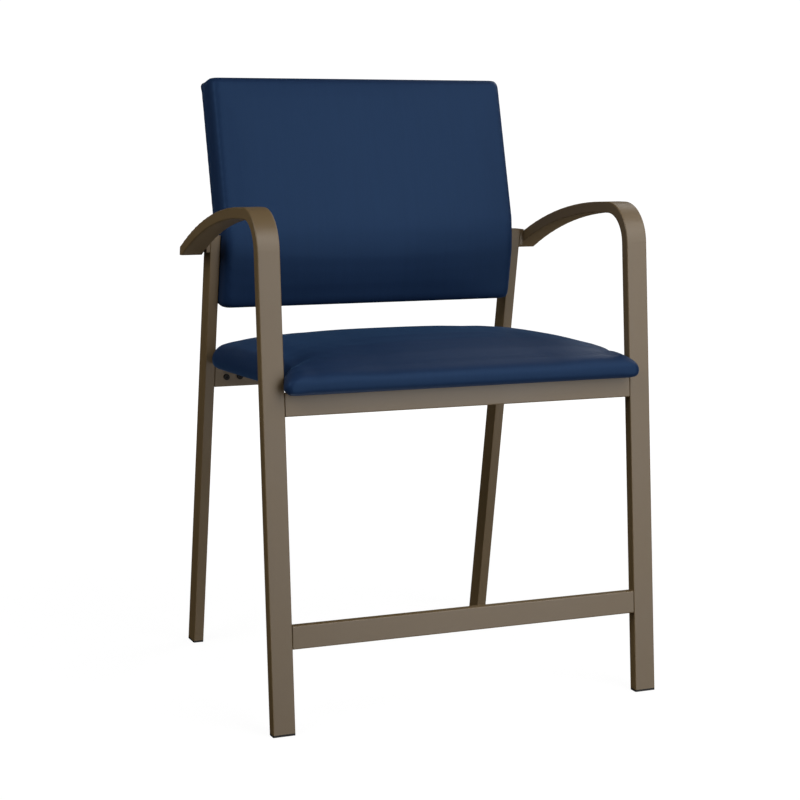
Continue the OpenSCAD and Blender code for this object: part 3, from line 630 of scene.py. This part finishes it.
# places on the seat are in its own directions: across it, along it with the nose at -Y, and up from its
# underside. A pair of places is where a soft step begins and ends
SEAT_OPENING = (
    SEAT_HALF_WIDTH - SEAT_OPENING_INSET, SEAT_HALF_DEPTH - SEAT_OPENING_INSET, SEAT_OPENING_RADIUS,
)
SEAT_UNDERSIDE = 3 * MM
SEAT_HELD = (1 * MM, 9 * MM)
SEAT_EDGES = (285 * MM, 303 * MM)

# the fold in the cover at each front corner, from the leg's notch to the middle. It widens and fades along
# its run, and it ends above the board. Its ridges' distance and width are counted in widths of the fold
FOLD_PATH = np.array([
    (303, -196, 22), (297, -198, 32), (288, -195, 39), (272, -180, 44),
    (258, -173, 46.5), (245, -169.5, 48.7), (228, -169, 50.5), (205, -170, 53),
]) * MM
FOLD_DEPTH = 5 * MM
FOLD_WIDTH = 5 * MM
FOLD_WIDENING = 6.5 * MM
FOLD_FADE = (0.15, 1.0)
FOLD_FOOT = (16 * MM, 25 * MM)
RIDGE_HEIGHT = 0.8 * MM
RIDGE_DISTANCE = 2.4
RIDGE_WIDTH = 1.1

# the nose's droop over the front rail
DROOP = 3.8 * MM
DROOP_HEIGHTS = (8 * MM, 34 * MM)
DROOP_FRONT = (SEAT_NOSE_REAR - 15 * MM, SEAT_NOSE_REAR)

# the nose's ends: how they fall off towards the sides, and how their corners are filled out
END_FALL = 4 * MM
END_START = 280 * MM
END_REACH = 22 * MM
END_HEIGHT = 45 * MM
END_FRONT = (-212 * MM, -192 * MM)
END_SIDES = (280 * MM, 305 * MM)
END_WIDER = 2.5 * MM
END_FORWARD = 3 * MM
END_CORNER_FRONT = (-252 * MM, -247 * MM)
END_CORNER_REAR = (-236 * MM, -216 * MM)

# the crown: hollow in its middle, fuller from the first pair of places outward, and falling to the nose
CROWN_HOLLOW = 3.2 * MM
CROWN_RISE = 5.2 * MM
CROWN_RISE_SIDES = (140 * MM, 250 * MM)
CROWN_FALL = 6 * MM
CROWN_FALL_START = -120 * MM
CROWN_FALL_REACH = 131 * MM
CROWN_FALL_SPARED = 0.6
CROWN_SPARED_SIDES = (262 * MM, 292 * MM)
CROWN_FOOT = 12 * MM
CROWN_HEIGHT = 30 * MM

# the foam's lower edge leans in with the cover's round
LEAN = 3 * MM
LEAN_HEIGHTS = (SEAT_FOAM_LOW, SEAT_FOAM_LOW + 14 * MM)
LEAN_FRONT = (-246 * MM, -232 * MM)


def fold_corners(piece):
    """Presses the fold in at both front corners, with a low ridge along each side of it."""
    places = points(piece)
    mirrored = places.copy()
    mirrored[:, 0] = np.abs(mirrored[:, 0])
    nearest = np.ones(len(places))
    run = np.zeros(len(places))
    steps = len(FOLD_PATH) - 1
    for step in range(steps):
        first, second = FOLD_PATH[step], FOLD_PATH[step + 1]
        along = second - first
        share = np.clip((mirrored - first) @ along / (along @ along), 0, 1)
        distance = np.linalg.norm(mirrored - first - share[:, None] * along, axis=1)
        closer = distance < nearest
        nearest = np.where(closer, distance, nearest)
        run = np.where(closer, (step + share) / steps, run)
    width = FOLD_WIDTH + FOLD_WIDENING * run
    valley = np.exp(-(nearest / width) ** 2 / 2)
    ridge = np.exp(-((nearest / width - RIDGE_DISTANCE) / RIDGE_WIDTH) ** 2 / 2)
    press = (FOLD_DEPTH * valley - RIDGE_HEIGHT * ridge) * (1 - soft_step(run, *FOLD_FADE))
    press *= soft_step(places[:, 2], *FOLD_FOOT)
    set_points(piece, places - normals_of(piece) * press[:, None])


def drop_nose(places):
    """The skin in front of the rail hangs a little below the board's edge."""
    low = 1 - soft_step(places[:, 2], *DROOP_HEIGHTS)
    front = 1 - soft_step(places[:, 1], *DROOP_FRONT)
    places[:, 2] -= DROOP * low * front
    return places


def round_nose_ends(places):
    """The nose falls away in a full round in front of each leg, and its corners cover the board's."""
    side = np.abs(places[:, 0])
    front = 1 - soft_step(places[:, 1], *END_FRONT)
    reach = np.maximum((side - END_START) / END_REACH, 0)
    height = np.clip(places[:, 2] / END_HEIGHT, 0, 1)
    places[:, 2] -= END_FALL * reach ** 2 * front * height
    outer = soft_step(side, *END_SIDES) * front
    corner = soft_step(places[:, 1], *END_CORNER_FRONT) * (1 - soft_step(places[:, 1], *END_CORNER_REAR))
    places[:, 0] += np.sign(places[:, 0]) * END_WIDER * outer
    places[:, 1] -= END_FORWARD * outer * corner
    return places


def shape_crown(places):
    """The crown is sat in at its middle, full towards its sides, and falls in a long curve to the nose."""
    side = np.abs(places[:, 0])
    crown = CROWN_RISE * soft_step(side, *CROWN_RISE_SIDES) - CROWN_HOLLOW
    crown *= 1 - soft_step(side, *SEAT_EDGES)
    fall = CROWN_FALL * np.clip((CROWN_FALL_START - places[:, 1]) / CROWN_FALL_REACH, 0, 1) ** 2
    fall *= 1 - CROWN_FALL_SPARED * soft_step(side, *CROWN_SPARED_SIDES)
    places[:, 2] += (crown - fall) * np.clip((places[:, 2] - CROWN_FOOT) / CROWN_HEIGHT, 0, 1)
    return places


def on_seat_board(places):
    """Where the foam's points lie once it stands on the board."""
    low = 1 - soft_step(places[:, 2], *LEAN_HEIGHTS)
    side = soft_step(np.abs(places[:, 0]), *SEAT_EDGES)
    front = 1 - soft_step(places[:, 1], *LEAN_FRONT)
    places[:, 0] -= np.sign(places[:, 0]) * LEAN * low * side
    places[:, 1] += LEAN * low * front
    places[:, 2] = np.maximum(places[:, 2], SEAT_FOAM_LOW)
    return places


def seat_rim(place):
    """The nearest place to this one on the edge of the cover's opening under the seat."""
    return (*onto_outline(place[0], place[1], *SEAT_OPENING), place[2])


def seat_cushion():
    nodes = ["seat_cover", "seat_foam", "seat_board", "seat_dust_cover"]
    cushion = cast_of(nodes, "seat_upholstery", SEAT_PLACE)
    apply_modifier(cushion, "REMESH", mode="VOXEL", voxel_size=VOXEL_SIZE, use_smooth_shade=True)
    apply_modifier(cushion, "SMOOTH", factor=0.5, iterations=6)
    swell(cushion, 1 - soft_step(points(cushion)[:, 2], *SEAT_HELD), share=0.12, cap=1.2 * MM)
    set_points(cushion, round_nose_ends(drop_nose(points(cushion))))
    fold_corners(cushion)
    set_points(cushion, shape_crown(points(cushion)))
    foam_of(cushion, "seat_foam_block", "seat_foam", on_seat_board).data.transform(SEAT_PLACE)
    places = points(cushion)
    inside = inside_outline(places[:, 0], places[:, 1], *SEAT_OPENING) > -OPENING_OVERRUN
    open_behind(cushion, inside & (places[:, 2] < SEAT_UNDERSIDE), seat_rim)
    give_thickness(cushion)
    cushion.data.transform(SEAT_PLACE)
    declare_padding(cushion, "seat_cover", "cover")


# Back

# places on the back are across it, along its run and in depth behind its front face
BACK_MIDDLE_RUN = (BACK_BOTTOM_RUN + BACK_TOP_RUN) / 2
BACK_HALF_LENGTH = (BACK_TOP_RUN - BACK_BOTTOM_RUN) / 2
BACK_OPENING = (
    BACK_HALF_WIDTH - BACK_OPENING_INSET, BACK_HALF_LENGTH - BACK_OPENING_INSET, BACK_OPENING_RADIUS,
)
BACK_REAR = 56 * MM
BACK_HELD = (48 * MM, 57 * MM)
CORNER_SIDES = (BACK_HALF_WIDTH - 18 * MM, BACK_HALF_WIDTH - 6 * MM)
CORNER_ENDS = (BACK_HALF_LENGTH - 18 * MM, BACK_HALF_LENGTH - 6 * MM)
CORNER_DEPTHS = (44 * MM, 52 * MM)
CORNER_OUTWARD = 1.8 * MM
CORNER_REARWARD = 0.6 * MM


def back_measure(places):
    """Run along the back and depth behind its front face, of places in the side view."""
    forward = BACK_MIDDLE_Y - places[:, 1]
    upward = places[:, 2] - BACK_MIDDLE_Z
    angle = np.clip(np.arctan2(upward, forward), BACK_LOWER_LEAN, BACK_UPPER_LEAN)
    radius = forward * np.cos(angle) + upward * np.sin(angle)
    rest = upward * np.cos(angle) - forward * np.sin(angle)
    return BACK_RADIUS * angle + rest, BACK_RADIUS - radius


def back_place(across, run, depth):
    """The place in the chair of a place on the back."""
    angle = np.clip(run / BACK_RADIUS, BACK_LOWER_LEAN, BACK_UPPER_LEAN)
    rest = run - BACK_RADIUS * angle
    radius = BACK_RADIUS - depth
    return np.stack([
        across,
        BACK_MIDDLE_Y - radius * np.cos(angle) + rest * np.sin(angle),
        BACK_MIDDLE_Z + radius * np.sin(angle) + rest * np.cos(angle),
    ], axis=1)


def stretch_over_corners(cushion):
    """The cover is pulled taut over the four corners of the back board."""
    places = points(cushion)
    run, depth = back_measure(places)
    along = run - BACK_MIDDLE_RUN
    corner = soft_step(np.abs(places[:, 0]), *CORNER_SIDES) * soft_step(np.abs(along), *CORNER_ENDS)
    corner *= soft_step(depth, *CORNER_DEPTHS)
    across = places[:, 0] + np.sign(places[:, 0]) * CORNER_OUTWARD * corner
    run += np.sign(along) * CORNER_OUTWARD * corner
    set_points(cushion, back_place(across, run, depth + CORNER_REARWARD * corner))


def on_back_board(places):
    """Where the foam's points lie once it is pressed on the board."""
    run, depth = back_measure(places)
    return back_place(places[:, 0], run, np.minimum(depth, BACK_FOAM_REAR))


def back_rim(place):
    """The nearest place to this one on the edge of the cover's opening behind the back."""
    run, depth = back_measure(np.array([place]))
    across, along = onto_outline(place[0], run[0] - BACK_MIDDLE_RUN, *BACK_OPENING)
    return back_place(np.array([across]), np.array([along + BACK_MIDDLE_RUN]), depth)[0]


def back_cushion():
    nodes = ["back_cover", "back_foam", "back_board", "back_rear_panel"]
    cushion = cast_of(nodes, "back_upholstery")
    apply_modifier(cushion, "REMESH", mode="VOXEL", voxel_size=VOXEL_SIZE, use_smooth_shade=True)
    apply_modifier(cushion, "SMOOTH", factor=0.5, iterations=4)
    swell(cushion, soft_step(back_measure(points(cushion))[1], *BACK_HELD), share=0.2, cap=1.6 * MM)
    stretch_over_corners(cushion)
    foam_of(cushion, "back_foam_block", "back_foam", on_back_board)
    places = points(cushion)
    run, depth = back_measure(places)
    inside = inside_outline(places[:, 0], run - BACK_MIDDLE_RUN, *BACK_OPENING) > -OPENING_OVERRUN
    open_behind(cushion, inside & (depth > BACK_REAR), back_rim)
    give_thickness(cushion)
    declare_padding(cushion, "back_cover", "cover")


# Closing cloths

PANEL_OVERLAP = 0.3 * MM
PANEL_THICKNESS = 0.9 * MM
PANEL_CROWN = 0.8 * MM
PANEL_HEM = 2.5 * MM
PANEL_GRID = (110, 80)
DUST_LAP = 6 * MM
DUST_THICKNESS = 0.4 * MM
DUST_GRID = (150, 120)
MIDDLE_SLACK = 2.6 * MM
SIDE_SLACK = 1.6 * MM
PUCKER_DEPTH = 0.35 * MM
PUCKER_REACH = 14 * MM
BEARER_OFFSET = 165 * MM
BEARER_HALF = 9.5 * MM
BEARER_EASE = 12 * MM


def shade_by_angle(piece):
    only(piece)
    bpy.ops.object.shade_smooth_by_angle(angle=SMOOTH_ANGLE)


def declare_sheet(sheet, node, slot, size):
    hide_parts(node)
    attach(sheet, "root")
    dress(sheet, finishes[slot])
    shade_by_angle(sheet)


def rear_panel():
    """Closes the back behind: its hem is turned in and lies flush in the cover's opening."""
    half_width, half_length, radius = (size + PANEL_OVERLAP for size in BACK_OPENING)
    panel = round_sheet("back_closing_panel", half_width, half_length, radius, PANEL_GRID)
    flat = points(panel)
    across, along = flat[:, 0], flat[:, 1]
    hem = soft_step(inside_outline(across, along, half_width, half_length, radius), 0, PANEL_HEM)
    crown = (1 - (across / half_width) ** 2) * (1 - (along / half_length) ** 2)
    depth = BACK_THICKNESS - PANEL_THICKNESS * (1 - hem) + PANEL_CROWN * crown
    set_points(panel, back_place(across, along + BACK_MIDDLE_RUN, depth))
    panel.data.flip_normals()
    apply_modifier(panel, "SOLIDIFY", thickness=PANEL_THICKNESS, offset=-1)
    declare_sheet(panel, "back_rear_panel", "cover", (2 * half_width, 2 * half_length))


def dust_cover():
    """Black cloth under the seat, stapled along its edge and slightly slack between the bearers."""
    half_width, half_length, radius = (size + DUST_LAP for size in SEAT_OPENING)
    cloth = round_sheet("seat_dust_cloth", half_width, half_length, radius, DUST_GRID)
    places = points(cloth)
    across, along = np.abs(places[:, 0]), places[:, 1]
    inner, outer = BEARER_OFFSET - BEARER_HALF, BEARER_OFFSET + BEARER_HALF
    middle_bay = np.where(across < inner, np.cos(across / inner * math.pi / 2) ** 2, 0)
    side_share = np.clip((across - outer) / (half_width - outer), 0, 1)
    bays = MIDDLE_SLACK * middle_bay + SIDE_SLACK * np.sin(side_share * math.pi) ** 2
    edge = inside_outline(places[:, 0], along, half_width, half_length, radius)
    at_side = half_width - across < half_length - np.abs(along)
    travel = np.where(at_side, along, places[:, 0])
    puckers = (1 - np.cos(travel / STAPLE_PITCH * 2 * math.pi)) * np.exp(-edge / PUCKER_REACH)
    puckers *= across < half_width - OPENING_OVERRUN
    clear_of_bearer = soft_step(np.abs(across - BEARER_OFFSET), BEARER_HALF, BEARER_HALF + BEARER_EASE)
    slack = bays * (1 - (along / half_length) ** 4) + PUCKER_DEPTH * puckers * clear_of_bearer
    places[:, 2] = -DUST_THICKNESS - slack
    set_points(cloth, places)
    cloth.data.flip_normals()
    apply_modifier(cloth, "SOLIDIFY", thickness=DUST_THICKNESS, offset=-1)
    cloth.data.transform(SEAT_PLACE)
    declare_sheet(cloth, "seat_dust_cover", "dust_cloth", (2 * half_width, 2 * half_length))


# Staples

STAPLE_PITCH = 34 * MM
STAPLE_SIZE = (10 * MM, 1.1 * MM, 0.7 * MM)
STAPLE_ROUND = 0.28 * MM
STAPLE_LEVEL = -0.9 * MM
STAPLE_INSET = 4 * MM
STAPLE_FRONT_ROW = -196 * MM
STAPLE_BEARER_GAP = 6 * MM
STAPLE_SIDE_STEPS = 5
STAPLE_END_STEPS = 6
STAPLE_WANDER = 5
STAPLE_SCATTER = (431, 977)


def finish_hardware(piece, slot):
    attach(piece, "root")
    dress(piece, finishes[slot])
    shade_by_angle(piece)


def staples():
    """Staples along the edge of the dust cloth, clear of the rails and the bearers, none quite straight."""
    bpy.ops.object.select_all(action="DESELECT")
    bpy.ops.mesh.primitive_cube_add(size=1)
    staple = bpy.context.object
    staple.data.transform(Matrix.Diagonal((*STAPLE_SIZE, 1)))
    bpy.ops.object.mode_set(mode="EDIT")
    bpy.ops.mesh.select_all(action="SELECT")
    bpy.ops.mesh.bevel(offset=STAPLE_ROUND, segments=2, affect="EDGES")
    bpy.ops.object.mode_set(mode="OBJECT")
    half_width, half_length, _ = (size + DUST_LAP - STAPLE_INSET for size in SEAT_OPENING)
    side_steps = range(-STAPLE_SIDE_STEPS, STAPLE_SIDE_STEPS + 1)
    spots = [(side * half_width, step * STAPLE_PITCH, 90) for step in side_steps for side in (-1, 1)]
    for step in range(-STAPLE_END_STEPS, STAPLE_END_STEPS + 1):
        x = step * STAPLE_PITCH
        if abs(abs(x) - BEARER_OFFSET) > BEARER_HALF + STAPLE_BEARER_GAP:
            spots += [(x, STAPLE_FRONT_ROW, 0), (x, half_length, 0)]
    copies = []
    for x, y, turn in spots:
        copy = new_piece("staple", staple.data.copy())
        wander = STAPLE_WANDER * math.sin(x * STAPLE_SCATTER[0] + y * STAPLE_SCATTER[1])
        turned = Matrix.Rotation(math.radians(turn + wander), 4, "Z")
        copy.data.transform(SEAT_PLACE @ Matrix.Translation((x, y, STAPLE_LEVEL)) @ turned)
        copies.append(copy)
    bpy.data.objects.remove(staple)
    row = copies[0]
    only(row)
    for copy in copies[1:]:
        copy.select_set(True)
    bpy.ops.object.join()
    row.name = "seat_staples"
    row.data.name = "seat_staples"
    finish_hardware(row, "zinc")


# Welds

REAR_LEG_SLOPE = math.tan(math.radians(10.7))
REAR_LEG_FOOT = 320 * MM
REAR_LEG_INNER = 285.75 * MM
REAR_LEG_OUTER = 304.8 * MM
ARM_INNER = 311.15 * MM
PLATE_WELD_ENDS = (666 * MM, 736 * MM)
SPACER_WELD_HEIGHT = 762 * MM
SPACER_WELD_LENGTH = 26 * MM
BEARER_FRONT = (BEARER_OFFSET, -261.6 * MM, 529.6 * MM)
BEARER_REAR = (BEARER_OFFSET, 182.6 * MM, 519.4 * MM)
BEARER_WELD_LENGTH = 17 * MM
BEAD_RADIUS = 2 * MM
SMALL_BEAD_RADIUS = 1.7 * MM
BEAD_SUNK = 1.2 * MM
SMALL_BEAD_SUNK = 0.9 * MM
BEAD_SIDES = 12
BEAD_LEAST_CUTS = 8
BEAD_END_POWER = 10
BEAD_END_LEAST = 0.05
RIPPLE = 0.14
RIPPLE_PITCH = 3.2 * MM
RIPPLE_STEP = 0.8 * MM


def weld(name, middle, direction, length, radius):
    """A rippled weld bead, sunk into the corner that it fills, with a mirrored one on the other side."""
    bpy.ops.object.select_all(action="DESELECT")
    bpy.ops.mesh.primitive_cylinder_add(vertices=BEAD_SIDES, radius=radius, depth=length)
    bead = bpy.context.object
    bead.name = name
    bead.data.name = name
    bpy.ops.object.mode_set(mode="EDIT")
    bpy.ops.mesh.select_mode(type="EDGE")
    bpy.ops.mesh.select_all(action="DESELECT")
    bpy.ops.object.mode_set(mode="OBJECT")
    for edge in bead.data.edges:
        first, second = (bead.data.vertices[index].co for index in edge.vertices)
        edge.select = abs(first.z - second.z) > length / 2
    bpy.ops.object.mode_set(mode="EDIT")
    bpy.ops.mesh.subdivide(number_cuts=max(BEAD_LEAST_CUTS, int(length / RIPPLE_STEP)))
    bpy.ops.object.mode_set(mode="OBJECT")
    places = points(bead)
    share = places[:, 2] / (length / 2)
    ripple = 1 + RIPPLE * np.cos(places[:, 2] / RIPPLE_PITCH * 2 * math.pi)
    taper = np.sqrt(np.maximum(1 - np.abs(share) ** BEAD_END_POWER, BEAD_END_LEAST))
    places[:, :2] *= (ripple * taper)[:, None]
    set_points(bead, places)
    bead.data.transform(Vector(direction).to_track_quat("Z", "Y").to_matrix().to_4x4())
    bead.data.transform(Matrix.Translation(middle))
    bead_pair = new_piece(name + "_left", bead.data.copy())
    bead_pair.data.name = name + "_left"
    bead_pair.data.transform(Matrix.Diagonal((-1, 1, 1, 1)))
    bead_pair.data.flip_normals()
    for piece in (bead, bead_pair):
        finish_hardware(piece, "frame_paint")


def rear_leg_back(height):
    """The rear face of the rear legs in the side view."""
    return REAR_LEG_FOOT - height * REAR_LEG_SLOPE


def welds():
    along_leg = (0, -REAR_LEG_SLOPE, 1)
    low, high = PLATE_WELD_ENDS
    middle = (low + high) / 2
    place = (REAR_LEG_INNER, rear_leg_back(middle) - BEAD_SUNK, middle)
    weld("back_plate_weld", place, along_leg, high - low, BEAD_RADIUS)
    for name, x in (("arm_spacer_inner_weld", REAR_LEG_OUTER), ("arm_spacer_outer_weld", ARM_INNER)):
        place = (x, rear_leg_back(SPACER_WELD_HEIGHT) - SMALL_BEAD_SUNK, SPACER_WELD_HEIGHT)
        weld(name, place, along_leg, SPACER_WELD_LENGTH, SMALL_BEAD_RADIUS)
    weld("bearer_front_weld", BEARER_FRONT, (1, 0, 0), BEARER_WELD_LENGTH, BEAD_RADIUS)
    weld("bearer_rear_weld", BEARER_REAR, (1, 0, 0), BEARER_WELD_LENGTH, BEAD_RADIUS)


# The chair

camera()
studio()

finishes = {
    "frame_paint": powder_coat(),
    "cover": vinyl(),
    "glide_plastic": black_plastic(),
    "black_steel": black_oxide(),
    "zinc": zinc_plate(),
    "plywood": plywood(),
    "foam": foam(),
    "dust_cloth": dust_cloth(),
}
for part in frame["record"]["subparts"]:
    dress(frame["nodes"][part["node"]], finishes[part["material_slot"]])

seat_cushion()
back_cushion()
rear_panel()
dust_cover()
staples()
welds()
